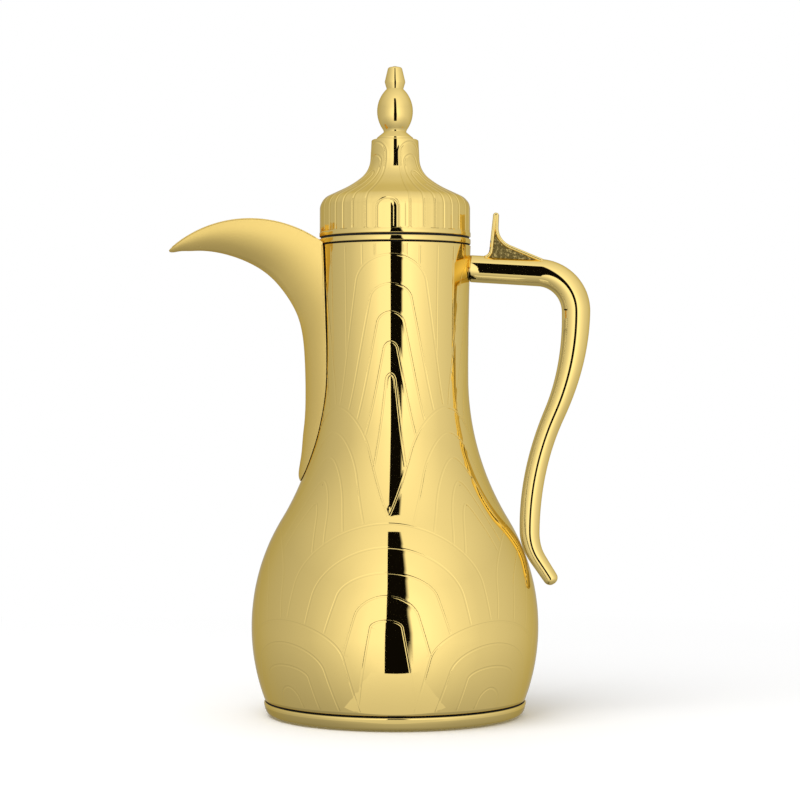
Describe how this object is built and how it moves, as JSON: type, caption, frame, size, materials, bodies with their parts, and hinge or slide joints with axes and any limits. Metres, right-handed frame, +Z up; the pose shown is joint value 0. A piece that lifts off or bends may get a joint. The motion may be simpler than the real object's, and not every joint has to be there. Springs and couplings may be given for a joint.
{
  "type": "dallah coffee pot",
  "caption": "Dallah coffee pot: bulbous double-walled flask with a beak spout, an S-shaped handle with a thumb rest and a bell-shaped screw lid with an egg finial.",
  "frame": {"origin": "on the pot's axis, on the plane that it rests on", "axes": "+Z up the pot's axis, spout towards -X, handle towards +X"},
  "size_m": [0.196, 0.1326, 0.3],
  "materials": {
    "gold_polished": "mirror-polished gold-coloured coating on steel",
    "gold_satin": "satin gold-coloured coating on steel",
    "gold_cast": "gold-coloured coating on a casting with rough recessed sides",
    "plain_steel": "plain drawn steel",
    "moulding": "black moulded plastic",
    "foam": "rigid insulating foam",
    "silicone": "soft silicone"
  },
  "bodies": {
    "pot": {"shell_neck": "gold_polished", "shell_bulb": "gold_polished", "flask_neck": "plain_steel", "flask_bulb": "plain_steel", "shell_floor": "plain_steel", "getter": "plain_steel", "base_ring": "gold_polished", "base_pad": "silicone", "neck_ring": "gold_polished", "spout": "gold_satin", "handle": "gold_polished", "thumb_rest": "gold_cast"},
    "lid_seal": {"lid_gasket": "silicone"},
    "mouth_seal": {"stopper_gasket": "silicone"},
    "lid": {"lid_dome": "gold_polished", "lid_core": "moulding", "stopper": "moulding", "stopper_cap": "moulding", "stopper_foam": "foam", "finial_collar": "gold_polished", "finial": "gold_polished", "finial_stud": "plain_steel", "stud_washer": "plain_steel", "finial_nut": "plain_steel"}
  },
  "joints": [
    {"name": "lid_lift", "type": "slide", "parent": "pot", "child": "lid_seal", "axis": [0, 0, 1], "range_m": [0, 0.06]},
    {"name": "lid_rise", "type": "slide", "parent": "lid_seal", "child": "mouth_seal", "axis": [0, 0, 1], "range_m": [0, 0.009]},
    {"name": "lid_turn", "type": "hinge", "parent": "mouth_seal", "child": "lid", "pos_m": [0, 0, 0.21], "axis": [0, 0, 1], "range_deg": [0, 540]}
  ],
  "couplings": [
    {"joint": "lid_rise", "follows": "lid_turn", "m_per_rad": 0.00095493}
  ]
}
